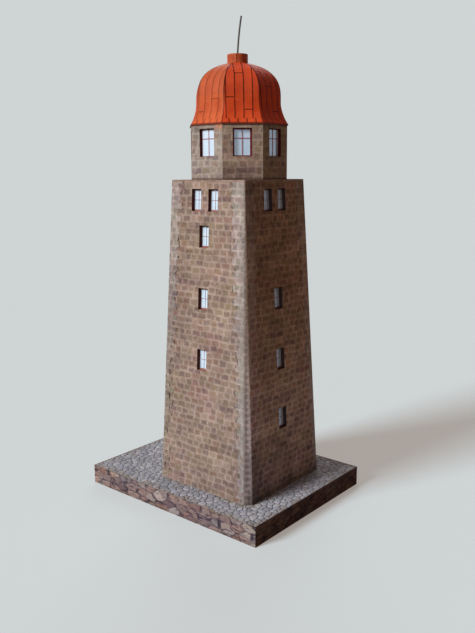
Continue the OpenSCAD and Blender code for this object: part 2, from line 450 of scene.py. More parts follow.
def folded(net, u, beyond, reveal, turn):
    """The surface's direction, eased round the fold into the corner cut."""
    bent = net.mix(u.above(0.0), heading(net, -1.0, -1.0, turn), heading(net, 1.0, -1.0, turn))
    bent = net.mix(beyond.rise(-FOLD, FOLD), bent, heading(net, 0.0, -1.0, turn))
    return net.mix(reveal, bent, net.normal())


def shaft_edge(v):
    """Half the wall's width at a height above the paving."""
    return FOOT_HALF - v * BATTER


def uneven_tone(net, side, u, v, beyond, seed):
    """Broad tone over a wall: ink and handling darken it in places, painted shade and wear darken
    the lit walls along the rounded fold, and the shaded walls grow lighter and darker with height
    and with distance from the front corner.
    """
    where = net.vector(u, v, seed + 9.0)
    tone = 0.75 + net.noise(where, 0.07, 3.0, 0.6) * 0.48
    if side in LIT_SIDES:
        stretched = net.vector(u * 0.5, v, seed + 5.0)
        patches = net.noise(stretched, 0.12, 3.0, 0.6).rise(0.4, 0.62) * 0.16
        worn_end = u.rise(-5.0, -16.0) * v.rise(56.0, 72.0) * 0.17
        # Painted shade, with wear, high on the lit walls along the rounded fold by the corner cut.
        fold_shade_and_wear = beyond.rise(3.0, 0.4) * u.above(0.0) * v.rise(84.0, 100.0) * 0.18
        return tone + patches - 0.12 - worn_end - fold_shade_and_wear
    patches = net.noise(where, 0.2, 3.0, 0.6) * 0.8 - 0.4
    far = u.rise(-2.0, 12.0) * v.rise(10.0, 24.0) * v.rise(128.0, 112.0) * 0.2
    pale_band = v.rise(22.0, 32.0) * v.rise(70.0, 60.0) * u.rise(14.0, 4.0) * 0.22
    foot = v.rise(9.0, 1.0) * 0.42 + v.rise(26.0, 16.0) * u.rise(10.0, 0.0) * 0.14
    near = beyond.rise(8.0, 4.0) * beyond.above(0.0) * u.below(0.0)
    corner = near * (v.rise(22.0, 40.0) * 0.38 - 0.2 - v.rise(110.0, 124.0) * 0.46)
    return tone + patches + far + pale_band + corner - foot


def reveal_colour(net, where, turn, sill):
    """The cut edges of an opening: raw card, or maroon paint."""
    x, y, z = net.split(net.normal())
    facing_left = (x * -math.cos(turn) - y * math.sin(turn)).above(0.6)
    lining = net.mix(facing_left * 0.8, REVEAL, RAW_EDGE)
    lining = net.mix(z.below(-0.6), lining, REVEAL_HEAD)
    lining = net.mix(z.above(0.6), lining, sill)
    return net.scaled(lining, 0.8 + net.noise(where, 1.6) * 0.4)


def shaft_material(side):
    """The print of one battered wall, its window reveals and its worn corners, with painted light
    and shade: tints by height, a shadow line under the deck, shade along the lit walls' fold and a
    darker sill on the shaded walls.
    """
    index = SIDES.index(side)
    lit = side in LIT_SIDES
    turn = QUARTER_TURN * index
    seed = 11.37 * (index + 1)
    net = Net(f"shaft_print_{side}", 0.78, 0.05)
    u, y, z = net.place(turn)
    v = z - PAVING_TOP
    where = net.vector(u, v, y)
    half = shaft_edge(v)
    edge = half - abs(u)
    cut = CORNER_CUT_FOOT - v * ((CORNER_CUT_FOOT - CORNER_CUT_HEAD) / SHAFT_HEIGHT)
    beyond = edge - cut
    colour, soft = stone_print(net, u, v, seed, STONE_WIDTH)
    if lit:
        colour = net.mix(0.14, colour, HANDLED)
    near_fade = 1.0 if lit else v.rise(30.0, 95.0)
    outlined, opened = (0.95, 0.85) if lit else (0.2, 0.0)
    colour = quoins(net, colour, u, v, edge, near_fade, outlined, seed)
    colour = corner_cut(net, colour, u, v, beyond, seed, opened)
    scuffs = net.noise(where, 0.8, 4.0, 0.7).rise(0.52, 0.64) * abs(beyond).rise(1.1, 0.1)
    colour = net.mix(scuffs * 0.6, colour, SCUFF)
    colour = net.scaled(colour, uneven_tone(net, side, u, v, beyond, seed))
    if not lit:
        near = beyond.rise(9.0, 3.0) * beyond.above(0.0) * u.below(0.0)
        colour = net.tinted(colour, NEAR_TINT, near)
    # Painted light on the right wall: a paler, bluer foot and a darker, warmer top.
    low = v.rise(105.0, 20.0)
    colour = net.tinted(colour, LOW_TINT[side], low)
    if side in HIGH_TINT:
        colour = net.tinted(colour, HIGH_TINT[side], 1.0 - low)
    foot_dirt = v.rise(7.0, 0.0) * net.noise(where, 0.3).rise(0.3, 0.75)
    # Painted shadow: a darker line along the wall's top, under the deck.
    painted_deck_shadow = v.rise(SHAFT_HEIGHT - 1.6, SHAFT_HEIGHT - 0.9)
    colour = net.mix(foot_dirt * 0.35, colour, srgb(96, 82, 62))
    colour = net.mix(painted_deck_shadow * 0.3, colour, srgb(112, 90, 78))
    reveal = (half + y).rise(*REVEAL_START) * abs(u).below(WINDOWS_REACH)
    # The right and left walls take the darker sill copy, as painted shade.
    sill = REVEAL_SILL if lit else REVEAL_SILL_PAINTED_SHADE
    colour = net.mix(reveal, colour, reveal_colour(net, where, turn, sill))
    bump_print(net, soft, where, folded(net, u, beyond, reveal, turn))
    return net.paint(colour)


def deck_material():
    """Plain grey card on top; its edge carries the wall's print, darkened into a painted shadow
    line, and the top darkens towards its rim as painted shade.
    """
    net = Net("deck_card", 0.85, 0.12)
    x, y, z = net.place()
    facing = net.split(net.normal())
    u = abs(facing[0]).above(0.7).choose(x, y)
    where = net.vector(x, y, z)
    stone = stone_print(net, u, z - PAVING_TOP, 71.3, STONE_WIDTH)[0]
    # Painted shadow: the print on the deck's edge is darkened into a dark line.
    edge = net.mix(0.4, stone, srgb(118, 100, 88))
    grain = net.noise(where, 1.2, 4.0, 0.65)
    stain = net.noise(where, 0.12, 3.0)
    top = net.mix(stain, srgb(112, 104, 98), srgb(136, 128, 120))
    top = net.scaled(top, 0.82 + grain * 0.34)
    # Painted shade: the top darkens towards its outer rim.
    rim = (HEAD_HALF - abs(x).most(abs(y))).rise(0.7, 0.1)
    top = net.mix(rim * 0.5, top, srgb(98, 76, 66))
    net.bump(grain, PRINT_RELIEF)
    return net.paint(net.mix(facing[2].above(0.5), edge, top))


LANTERN_STONES = palette(
    (104, 86, 78), (134, 110, 96), (112, 94, 92), (136, 120, 100), (126, 100, 88),
    (144, 126, 112), (114, 96, 94), (126, 110, 94))
LANTERN_JOINT = srgb(164, 148, 136)
# Tints by facing. The front's paler, bluer tint is a painted sheen, the front right's warmer one
# painted light, and the right's darker, warmer one painted shade.
LANTERN_TINTS_AND_PAINTED_LIGHT = {
    **dict.fromkeys(OCTANTS, (1.0, 1.08, 1.12)),
    "front": (1.04, 1.14, 1.22),
    "front_right": (1.07, 1.08, 1.02),
    "right": (0.96, 0.92, 0.8),
}
LANTERN_LOW_TINT = (0.76, 0.7, 0.74)


def lantern_material(octant):
    """Squared stones of one lantern wall, scuffed along its folds, with painted light: tints by
    facing, and painted shadow under the eave and at the deck.
    """
    index = OCTANTS.index(octant)
    seed = 7.91 * (index + 2)
    net = Net(f"lantern_print_{octant}", 0.78, 0.12)
    u, y, z = net.place(EIGHTH_TURN * index)
    v = z - DECK_TOP
    where = net.vector(u, v, seed)
    colour, soft = stone_print(
        net, u, v + 0.4, seed, LANTERN_STONE_WIDTH, LANTERN_STONES, LANTERN_JOINT)
    colour = net.tinted(colour, LANTERN_TINTS_AND_PAINTED_LIGHT[octant])
    cloud = net.noise(where, 0.2, 3.0, 0.6)
    mottle = net.noise(where, 0.9, 4.0, 0.75)
    colour = net.scaled(colour, 0.3 + cloud * 0.6 + mottle * 0.86)
    lower = v.rise(8.5, 3.5) * (0.9 if octant == "front_right" else 0.3)
    colour = net.tinted(colour, LANTERN_LOW_TINT, lower)
    edge = LANTERN_HALF * math.tan(HALF_OCTANT) - abs(u)
    fold = edge.rise(0.5, 0.1) * net.noise(where, 0.8).rise(0.3, 0.6)
    # Painted shadow: a dark band just under the eave.
    painted_eave_shadow = v.rise(LANTERN_HEIGHT - 1.3, LANTERN_HEIGHT - 0.3)
    colour = net.mix(fold * 0.5, colour, srgb(188, 178, 168))
    colour = net.mix(painted_eave_shadow * 0.5, colour, srgb(84, 62, 52))
    # Painted shadow: a dark line at the wall's foot, where it meets the deck.
    colour = net.mix(v.rise(1.3, 0.3) * 0.75, colour, srgb(74, 56, 50))
    if octant == "front":
        column = u.rise(4.4, 5.4) * v.rise(10.0, 12.5) * v.rise(19.0, 16.5)
        wavy_v = v + net.wobble(where, 0.7, 3.0)
        smear = wavy_v.rise(LANTERN_HEIGHT - 3.2, LANTERN_HEIGHT - 1.0) * u.rise(3.5, 7.0)
        colour = net.mix(column * mottle.rise(0.3, 0.6) * 0.4, colour, srgb(176, 172, 166))
        colour = net.mix(smear * 0.6, colour, srgb(192, 116, 76))
    lining = net.scaled(srgb(82, 36, 34), 0.8 + net.noise(where, 1.6) * 0.4)
    colour = net.mix((LANTERN_HALF + y).rise(*REVEAL_START), colour, lining)
    bump_print(net, soft, where)
    return net.paint(colour)


# --- Pieces


def rotated(point, turn):
    """A point near a tower wall that faces -Y, turned to its own side, in metres."""
    c, s = math.cos(turn), math.sin(turn)
    x, y, z = point
    return Vector((AXIS_X + x * c - y * s, x * s + y * c, z)) / MM


def new_object(name, data):
    """An object, linked to the scene."""
    made = bpy.data.objects.new(name, data)
    bpy.context.scene.collection.objects.link(made)
    return made


def new_piece(name, verts, faces, material, slot, *replaced):
    """A piece made of closed shells, riding on the tower."""
    mesh = bpy.data.meshes.new(name)
    mesh.from_pydata([tuple(v) for v in verts], [], faces)
    mesh.validate()
    mesh.materials.append(material)
    shape = bmesh.new()
    shape.from_mesh(mesh)
    bmesh.ops.recalc_face_normals(shape, faces=shape.faces)
    shape.to_mesh(mesh)
    shape.free()
    piece = new_object(name, mesh)
    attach(piece, "root")
    if replaced:
        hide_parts(*replaced)
    return piece


def sides_of(outline):
    """Each point of a closed outline, with the next one."""
    return zip(outline, outline[1:] + outline[:1])


def shade_smooth(piece, degrees):
    """Smooth shading, except over edges sharper than an angle."""
    piece.data.shade_smooth()
    piece.data.set_sharp_from_angle(angle=math.radians(degrees))


# --- Windows

BOX_FACES = [(0, 1, 2, 3), (7, 6, 5, 4), (0, 4, 5, 1), (1, 5, 6, 2), (2, 6, 7, 3), (3, 7, 4, 0)]
PANE_GAP = 0.02
BAR_SETBACK = 0.05
BAR_ROUNDING = 0.03
SHAFT_WINDOW = {
    "size": WINDOW_SIZE, "sheet": 1.8, "stand": 0.14,
    "side": 0.2, "head": 0.7, "sill": 0.75, "bar": 0.2, "transom": 0.5}
LANTERN_WINDOW = {
    "size": (8.6, LANTERN_HEIGHT - 1.7 - LANTERN_SILL), "sheet": 1.5, "stand": 0.3,
    "side": 0.85, "head": 0.75, "sill": 0.45, "bar": 0.34, "transom": 0.36}
SQUARE_WINDOW = {**LANTERN_WINDOW, "side": 0.45, "head": 0.5, "sill": 0.3, "stand": 0.2}


def pane_material(name, ior, film):
    """Pale blue-white panes under a clear, glossy film of its own tint."""
    net = Net(name, 0.14, 0.5, {"IOR": ior, "Specular Tint": film})
    x, y, z = net.place()
    where = net.vector(x, y, z)
    cloud = net.noise(where, 0.28)
    streak = net.noise(net.vector(x * 1.6, y * 1.6, z * 0.25), 0.5)
    smudge = net.noise(where, 0.9, 3.0, 0.65).rise(0.68, 0.78)
    colour = net.mix(cloud.rise(0.35, 0.65), srgb(206, 232, 253), srgb(216, 238, 255))
    colour = net.mix(streak.rise(0.55, 0.75) * 0.3, colour, srgb(190, 212, 240))
    return net.paint(net.mix(smudge * 0.25, colour, srgb(156, 164, 190)))


def bar_material(name, dark, pale):
    """Glazing bars and frames, painted a little unevenly."""
    net = Net(name, 0.55, 0.3)
    where = net.vector(*net.place())
    net.bump(net.noise(where, 4.0), 0.03)
    return net.paint(net.mix(net.noise(where, 1.3, 3.0).rise(0.3, 0.7), *palette(dark, pale)))


def make_boxes(name, spans, behind, corner, material):
    """Small boxes on a wall as one piece, given as spans across and up its face."""
    verts = []
    faces = []
    for (left, right), (low, high) in spans:
        faces += [tuple(len(verts) + i for i in face) for face in BOX_FACES]
        outline = ((left, low), (right, low), (right, high), (left, high))
        verts += [corner(u, v, depth) for depth in behind for u, v in outline]
    boxes = new_piece(name, verts, faces, material, "window_pane")
    soften = boxes.modifiers.new("soften", "BEVEL")
    soften.width = BAR_ROUNDING / MM
    soften.segments = 2


def window_spans(middle, sill, style):
    """The spans of a window's frame, and of its upright and transom."""
    width, height = style["size"]
    left, right = middle - width / 2, middle + width / 2
    head = sill + height
    side = style["side"]
    bar = style["bar"] / 2
    level = sill + height * (1 - style["transom"])
    frame = [
        ((left, left + side), (sill, head)),
        ((right - side, right), (sill, head)),
        ((left + side, right - side), (head - style["head"], head)),
        ((left + side, right - side), (sill, sill + style["sill"]))]
    bars = [
        ((middle - bar, middle + bar), (sill + style["sill"] / 2, head - style["head"] / 2)),
        ((left + side / 2, right - side / 2), (level - bar, level + bar))]
    return frame, bars


def make_windows(wall, corner, places, style, frame_paint, bar_paint):
    """The frames and the bars of one wall's windows, as two pieces."""
    windows = [window_spans(middle, sill, style) for middle, sill in places]
    frames, bars = (sum(spans, []) for spans in zip(*windows))
    front, back = style["sheet"] - style["stand"], style["sheet"] - PANE_GAP
    make_boxes(f"window_frames_{wall}", frames, (front, back), corner, frame_paint)
    make_boxes(f"window_bars_{wall}", bars, (front + BAR_SETBACK, back), corner, bar_paint)


def make_shaft_windows():
    """Three single windows and a pair to each wall."""
    terracotta = bar_material("sill_paint", (138, 94, 86), (160, 112, 102))
    # A darker copy of the sill paint, as painted shade, for the right and left walls.
    maroon = bar_material("sill_paint_in_painted_shade", (84, 44, 42), (104, 56, 50))
    bar_paint = bar_material("shaft_bar_paint", (136, 84, 92), (160, 104, 110))
    twins = [(way * TWIN_SPACING / 2 - WINDOW_SHIFT, TWIN_SILL) for way in (-1, 1)]
    for index, side in enumerate(SIDES):
        def corner(u, v, depth, turn=QUARTER_TURN * index):
            return rotated((u, depth - shaft_edge(v), v + PAVING_TOP), turn)
        storeys = [FIRST_STOREY[side] + step for step in range(3)]
        singles = [(-WINDOW_SHIFT, FIRST_SILL + storey * STOREY_HEIGHT) for storey in storeys]
        # The right and left walls take the darker copy, as painted shade.
        paint = terracotta if side in LIT_SIDES else maroon
        make_windows(f"shaft_{side}", corner, singles + twins, SHAFT_WINDOW, paint, bar_paint)


def make_lantern_windows():
    """One window to each wall."""
    paint = bar_material("lantern_frame_paint", (98, 32, 34), (128, 46, 46))
    bar_paint = bar_material("lantern_bar_paint", (150, 66, 72), (170, 88, 92))
    for index, octant in enumerate(OCTANTS):
        def corner(u, v, depth, turn=EIGHTH_TURN * index):
            return rotated((u, depth - LANTERN_HALF, v + DECK_TOP), turn)
        style = SQUARE_WINDOW if octant in SIDES else LANTERN_WINDOW
        make_windows(f"lantern_{octant}", corner, [(0.0, LANTERN_SILL)], style, paint, bar_paint)


# --- Dome

ORANGE = srgb(213, 82, 36)
ORANGE_DEEP = srgb(198, 68, 28)
SEAM = srgb(64, 20, 12)
# Tints by facing. The front's paler, greyer tint is a painted sheen, the front right's a painted
# light, and the right's darker one painted shade.
GORE_TINTS_AND_PAINTED_LIGHT = {
    **dict.fromkeys(OCTANTS, (0.98, 1.1, 1.2)),
    "front": (0.88, 1.45, 2.4),
    "front_right": (1.05, 1.05, 1.4),
    "right": (0.92, 0.8, 1.1),
}
SEAM_PITCH = 3.9
SEAM_START = -6.9
STRIP_TOP = 1.85
LAPS = [[(3, 10.5), (1, 5.3)], [(2, 21.3), (1, 10.9), (3, 5.7)], [(2, 15.8), (3, 5.3)]]
SKIRT_STEPS = 18
BELL_STEPS = 36
GORE_STEPS = 16
GORE_SHEET = 0.4
GORE_SETBACK = 0.1
ROLL_DEPTH = 0.34
ROLL_REACH = 2.2
ROLL_TOP = 16.0
LAP_FROM = 20.5
LAP_REACH = 1.5
LAP_LIFT = 0.16
BUCKLE = 0.1
INNER_DROP = 0.25
INNER_DROP_FROM = SKIRT_HEIGHT + 8.0


def dome_profile():
    """The dome's outer line from eave to collar, as half widths and heights."""
    waist = EAVE_HALF - SKIRT_FLARE
    line = []
    for step in range(SKIRT_STEPS):
        share = step / SKIRT_STEPS
        line.append((waist + SKIRT_FLARE * (1 - share) ** 2, SKIRT_HEIGHT * share))
    start = Vector((waist, SKIRT_HEIGHT))
    flank = Vector((waist, SKIRT_HEIGHT + FLANK_REACH))
    crown = Vector((COLLAR_RADIUS + 0.05, DOME_HEIGHT))
    over = crown + CROWN_REACH * Vector((math.cos(CROWN_SLOPE), -math.sin(CROWN_SLOPE)))
    for step in range(BELL_STEPS + 1):
        t = step / BELL_STEPS
        s = 1 - t
        first_half = s ** 3 * start + 3 * s * s * t * flank
        line.append(tuple(first_half + 3 * s * t * t * over + t ** 3 * crown))
    line.append((crown.x - 0.45, crown.y + 0.09))
    return line


def gore_material(octant):
    """Orange paper with printed standing seams, staggered laps and an eave strip, with painted
    light: a sheen across each seam's column, tints by facing, and shade in the creases and at the
    eave.
    """
    index = OCTANTS.index(octant)
    front = octant == "front"
    net = Net(f"gore_print_{octant}", 0.5, 0.05)
    u, y, z = net.place(EIGHTH_TURN * index)
    h = z - DOME_FOOT
    where = net.vector(u, y, z)
    cloud = net.noise(where, 0.16, 3.0)
    grain = net.noise(where, 2.4, 3.0, 0.6)
    colour = net.mix(cloud.rise(0.3, 0.7), ORANGE_DEEP, ORANGE)
    colour = net.mix(h.rise(12.0, 12.35) * 0.35, colour, srgb(186, 72, 40))
    waver = net.wobble(net.vector(u * 0.2, index * 3.1, h), 0.25, 0.5)
    column = (u + waver - SEAM_START) / SEAM_PITCH
    lines = (column.near_whole() * SEAM_PITCH).rise(0.32, 0.12)
    for which, height in LAPS[index % len(LAPS)]:
        in_column = column.floor().above(which - 1.5) * column.floor().below(which - 0.5)
        lines = lines.most(abs(h - height).rise(0.26, 0.1) * in_column)
    strip = h.rise(STRIP_TOP + 0.05, STRIP_TOP - 0.15)
    tick = (u - 1.2 - SEAM_START) / SEAM_PITCH
    ticks = (tick.near_whole() * SEAM_PITCH).rise(0.3, 0.12)
    lines = strip.choose(lines, ticks)
    lines = lines.most(abs(h - STRIP_TOP).rise(0.16, 0.04) * 0.15)
    sheen = (column.fract() - 0.5) * 0.16
    colour = net.scaled(colour, 0.88 + (grain - 0.5) * 0.3 + sheen + cloud * 0.18)
    colour = net.tinted(colour, GORE_TINTS_AND_PAINTED_LIGHT[octant])
    if front:
        colour = net.mix(h.rise(13.0, 22.0) * 0.35, colour, srgb(168, 84, 52))
    inked = (net.noise(where, 0.5).rise(0.25, 0.55) * 0.3 + 0.7) * (0.62 if front else 1.0)
    # Painted shade in the creases where the gores meet, deeper higher up.
    fold = (abs(y) * math.tan(HALF_OCTANT) - abs(u)).rise(0.45, 0.1)
    colour = net.mix(lines * inked, colour, SEAM)
    colour = net.mix(fold * (0.6 + h.rise(8.0, 14.0) * 0.35), colour, srgb(78, 24, 16))
    # Painted shade: a dark line where the gores meet the eave plate.
    colour = net.mix(h.rise(0.35, 0.1) * 0.7, colour, srgb(80, 30, 22))
    chips = net.noise(where, 0.9, 4.0, 0.75).rise(0.66, 0.72) * strip
    scuffs = net.noise(where, 0.45, 4.0, 0.7).rise(0.68, 0.73)
    colour = net.mix((chips * 0.55).most(scuffs * 0.4), colour, srgb(222, 150, 118))
    net.put(net.shader.inputs["Roughness"], 0.42 + grain * 0.16)
    net.bump(grain * 0.3 - lines, 0.06)
    return net.paint(colour)


def gore_point(u, half_width, height, inward, turn):
    """A point on a gore's sheet. Past its fold it lies on the next gore."""
    edge = half_width * math.tan(HALF_OCTANT)
    if abs(u) > edge:
        way = math.copysign(1.0, u)
        u = way * (abs(u) - 2 * edge)
        turn += way * EIGHTH_TURN
    return rotated((u, inward - half_width, height + DOME_FOOT), turn)


def gore_row(half_width, height, layer, laps_over, drift, turn):
    """One level of a gore, buckled, and rolled in at its folds."""
    fold = half_width * math.tan(HALF_OCTANT)
    share = max(0.0, (height - LAP_FROM) / (DOME_HEIGHT - LAP_FROM))
    reach = fold + LAP_REACH * share * (1.15 - share) if laps_over else fold - 0.03
    rolled = ROLL_DEPTH * math.sin(min(1.0, height / ROLL_TOP) * math.pi)
    set_in = GORE_SETBACK + layer * GORE_SHEET - (LAP_LIFT * share if laps_over else 0.0)
    lift = -INNER_DROP * layer if height > INNER_DROP_FROM else 0.0
    for step in range(GORE_STEPS + 1):
        way = 2 * step / GORE_STEPS - 1
        u = reach * math.sin(way * math.pi / 2)
        buckle = BUCKLE * noise.noise(Vector((u * 0.16 + drift, height * 0.13, drift)))
        roll = max(0.0, 1 - (fold - abs(u)) / ROLL_REACH) if abs(u) < fold else 1.0
        inward = set_in + buckle + rolled * roll * roll
        yield gore_point(u, half_width, height + lift, inward, turn)


def sheet_faces(rows, across):
    """The faces of two layers of points and of the rim between them."""
    layer = rows * across
    faces = []
    for row in range(rows - 1):
        for a in range(row * across, row * across + across - 1):
            b = a + layer
            faces.append((a, a + 1, a + across + 1, a + across))
            faces.append((b, b + across, b + across + 1, b + 1))
    rim = [*range(across), *range(2 * across - 1, layer, across)]
    rim += [*range(layer - 2, layer - across - 1, -1), *range(layer - 2 * across, 0, -across)]
    for a, b in sides_of(rim):
        faces.append((a, a + layer, b + layer, b))
    return faces


def make_gores():
    """Eight bent gores. Every second one laps over its neighbours at the crown."""
    line = dome_profile()
    faces = sheet_faces(len(line), GORE_STEPS + 1)
    for index, octant in enumerate(OCTANTS):
        drift = random.Random(100 + index).uniform(0, 50)
        verts = []
        for layer in range(2):
            for half_width, height in line:
                verts += gore_row(
                    half_width, height, layer, index % 2 == 1, drift, EIGHTH_TURN * index)
        gore = new_piece(f"gore_{octant}", verts, faces, gore_material(octant),
                         "roof_paper", f"dome_gore_{octant}")
        shade_smooth(gore, 40)


def eave_material():
    """The eave plate: orange paper edge above; below, dark card that is painted shade under the
    eave.
    """
    net = Net("eave_card", 0.7, 0.2)
    grain = net.noise(net.vector(*net.place()), 1.5, 3.0)
    flat = abs(net.split(net.normal())[2]).above(0.5)
    net.bump(grain, 0.03)
    # Painted shade: the flat faces, the underside among them, are dark brown.
    card = net.mix(flat, srgb(120, 48, 32), srgb(92, 58, 46))
    return net.paint(net.scaled(card, 0.8 + grain * 0.4))


COLLAR_SEAM = math.radians(-55.0)


def collar_material():
    """The orange paper tube, with one glued seam, a painted highlight beside it and a worn rim."""
    net = Net("collar_print", 0.48, 0.06)
    x, y, z = net.place()
    where = net.vector(x, y, z)
    grain = net.noise(where, 2.0, 3.0, 0.6)
    cloud = net.noise(where, 0.5)
    colour = net.mix(cloud.rise(0.3, 0.7), srgb(164, 74, 46), srgb(184, 92, 58))
    colour = net.scaled(colour, 0.82 + grain * 0.34)
    c, s = math.cos(COLLAR_SEAM), math.sin(COLLAR_SEAM)
    beside = x * s - y * c
    facing = (x * c + y * s).above(0.0)
    rim = z.rise(COLLAR_HIGH.z - 0.45, COLLAR_HIGH.z - 0.1) * net.noise(where, 0.9).rise(0.35, 0.6)
    side = abs(net.split(net.normal())[2]).below(0.5)
    net.bump(grain, PRINT_RELIEF)
    colour = net.mix(abs(beside).rise(0.26, 0.08) * facing * 0.85, colour, SEAM)
    # Painted highlight: a pale band beside the seam, on the side it faces.
    painted_seam_highlight = abs(beside - 0.75).rise(0.5, 0.2) * facing
    colour = net.mix(painted_seam_highlight * 0.3, colour, srgb(232, 128, 88))
    return net.paint(net.mix(rim * side * 0.6, colour, srgb(186, 132, 72)))


def mast_material():
    """Dark, slightly tarnished wire."""
    net = Net("mast_metal", 0.45, 0.5, {"Metallic": 0.25})
    x, y, z = net.place()
    tarnish = net.noise(net.vector(x, y, z * 0.4), 0.8, 3.0)
    net.put(net.shader.inputs["Roughness"], 0.35 + tarnish * 0.3)
    return net.paint(net.mix(tarnish.rise(0.35, 0.65), srgb(48, 42, 42), srgb(76, 66, 62)))


# --- Terrace

RUBBLE = palette(
    (100, 84, 88), (166, 140, 132), (124, 104, 108), (186, 172, 164), (142, 110, 100),
    (168, 144, 138), (108, 94, 100), (174, 164, 160), (148, 116, 112), (116, 94, 90))
RUBBLE_JOINT = srgb(66, 57, 68)
RUBBLE_SIZE = 3.5
RUBBLE_TINT = (0.98, 1.01, 1.05)
RUST_TINT = (1.0, 0.76, 0.64)
# Painted shade for the right-facing side of the terrace's walls.
RIGHT_PAINTED_SHADE = (0.46, 0.34, 0.28)
RAW_CARD = srgb(140, 130, 116)
PAVERS = palette(
    (148, 152, 164), (168, 170, 180), (156, 160, 170), (176, 177, 182), (162, 162, 172),
    (172, 168, 166))
BEDDING = (0.0, 0.0, 1.0)
PAVING_INSET = 0.3
PAVING_PITCH = 3.25
PAVING_ROW = PAVING_PITCH * 0.87
PAVING_SCATTER = 0.42
PAVING_JOINT = 0.26
PAVED_UNDER_WALL = 1.6
PAVER_CORNER = 0.2
PAVER_DEPTH = 0.6
PAVER_ROUNDING = 0.12
PAVER_TILT = 0.025
PAVER_DROP = 0.06
BEDDING_DROP = 0.22
RIM_DROP = 0.02


def rectangle(half_x, half_y):
    """The outline of a rectangle about the origin."""
    return [(-half_x, -half_y), (half_x, -half_y), (half_x, half_y), (-half_x, half_y)]


def middle_of(outline):
    """The mean of an outline's points."""
    return [sum(axis) / len(outline) for axis in zip(*outline)]


def between(a, b, share):
    """The point that lies a share of the way from a to b."""
    return a[0] + share * (b[0] - a[0]), a[1] + share * (b[1] - a[1])


def clipped(outline, normal, limit):
    """The part of a convex outline whose points reach no further than limit."""
    kept = []
    for a, b in sides_of(outline):
        over_a = a[0] * normal[0] + a[1] * normal[1] - limit
        over_b = b[0] * normal[0] + b[1] * normal[1] - limit
        if over_a <= 0:
            kept.append(a)
        if over_a * over_b < 0:
            kept.append(between(a, b, over_a / (over_a - over_b)))
    return kept


def cells(points, region, joint, reach):
    """Convex cells about the points, a joint apart, inside a convex region."""
    spots = np.array(points)
    for spot in spots:
        outline = list(region)
        apart = spots - spot
        gaps = np.hypot(apart[:, 0], apart[:, 1])
        for other in np.nonzero((gaps > 1e-6) & (gaps < reach))[0]:
            away = apart[other] / gaps[other]
            limit = away @ (spot + spots[other]) / 2 - joint / 2
            outline = clipped(outline, away, limit)
            if len(outline) < 3:
                break
        if len(outline) >= 3:
            yield outline


def rounded(outline, share):
    """The outline with each corner cut off, as worn stones have."""
    cut = []
    for a, b in sides_of(outline):
        cut += [between(a, b, share), between(b, a, share)]
    return cut


class StoneWork:
    """Stones and slabs as closed shells in one mesh, each with its own tone."""

    def __init__(self):
        self.verts = []
        self.faces = []
        self.tones = []

    def ring(self, points, tone):
        """A closed row of points, their heights taken from the paving's top."""
        start = len(self.verts)
        self.verts += [Vector((x, y, PAVING_TOP + z)) / MM for x, y, z in points]
        self.tones += [tone] * len(points)
        return list(range(start, len(self.verts)))

    def shell(self, rings):
        """The faces between rings, and the two that close them."""
        for low, high in zip(rings, rings[1:]):
            for (a, b), (d, c) in zip(sides_of(low), sides_of(high)):
                self.faces.append((a, b, c, d))
        self.faces.append(tuple(rings[-1]))
        self.faces.append(tuple(reversed(rings[0])))

    def stone(self, outline, drop, tilt, tone):
        """One paver, with a rounded edge and a slightly tilted top."""
        mid_x, mid_y = middle_of(outline)
        arms = [(x - mid_x, y - mid_y) for x, y in outline]
        size = max(math.hypot(*arm) for arm in arms)
        top = -drop - math.hypot(*tilt) * size
        middle = (size / PAVER_ROUNDING + 1) / 2
        rings = [self.ring([(x, y, -PAVER_DEPTH) for x, y in outline], tone)]
        for inset, fall in ((0.0, 1.0), (0.35, 0.4), (1.0, 0.1), (middle, 0.0)):
            points = []
            for x, y in arms:
                keep = max(0.15, 1 - inset * PAVER_ROUNDING / max(math.hypot(x, y), 0.01))
                rise = (tilt[0] * x + tilt[1] * y) * keep
                height = top - fall * PAVER_ROUNDING + rise
                points.append((mid_x + x * keep, mid_y + y * keep, height))
            rings.append(self.ring(points, tone))
        self.shell(rings)

    def slab(self, outline, low, high):
        """A flat slab, in the bedding's tone."""
        self.shell([self.ring([(x, y, z) for x, y in outline], BEDDING) for z in (low, high)])

    def piece(self, name, material):
        """All the stones as one piece, which stands for the CAD's paving."""
        made = new_piece(
            name, self.verts, self.faces, material, "paving_print", "terrace_paving")
        tone = made.data.color_attributes.new("stone", "FLOAT_COLOR", "POINT")
        tone.data.foreach_set("color", [value for entry in self.tones for value in (*entry, 1.0)])
        shade_smooth(made, 48)


def make_paving(material):
    """Crazy paving: small irregular stones a little proud of their bedding."""
    rng = random.Random(5)
    half_x, half_y = TERRACE_X - PAVING_INSET, TERRACE_Y - PAVING_INSET
    hidden = FOOT_HALF - PAVED_UNDER_WALL

    def from_tower(point):
        return max(abs(point[0] - AXIS_X), abs(point[1]))

    def jitter(reach):
        return rng.uniform(-reach, reach)

    points = []
    for row in range(int(2 * half_y / PAVING_ROW) + 2):
        for column in range(int(2 * half_x / PAVING_PITCH) + 2):
            x = column + 0.5 * (row % 2) + jitter(PAVING_SCATTER)
            y = row + jitter(PAVING_SCATTER)
            points.append((x * PAVING_PITCH - half_x, y * PAVING_ROW - half_y))
    points = [point for point in points if from_tower(point) > hidden - 3]
    region = rectangle(half_x, half_y)
    work = StoneWork()
    for outline in cells(points, region, PAVING_JOINT, PAVING_PITCH * 2.6):
        tone = (rng.random(), rng.random(), 0.0)
        drop = rng.uniform(0.0, PAVER_DROP)
        tilt = (jitter(PAVER_TILT), jitter(PAVER_TILT))
        if from_tower(middle_of(outline)) >= hidden:
            work.stone(rounded(outline, PAVER_CORNER), drop, tilt, tone)
    work.slab(region, -PAVING_SHEET, -BEDDING_DROP)
    work.piece("paving_stones", material)


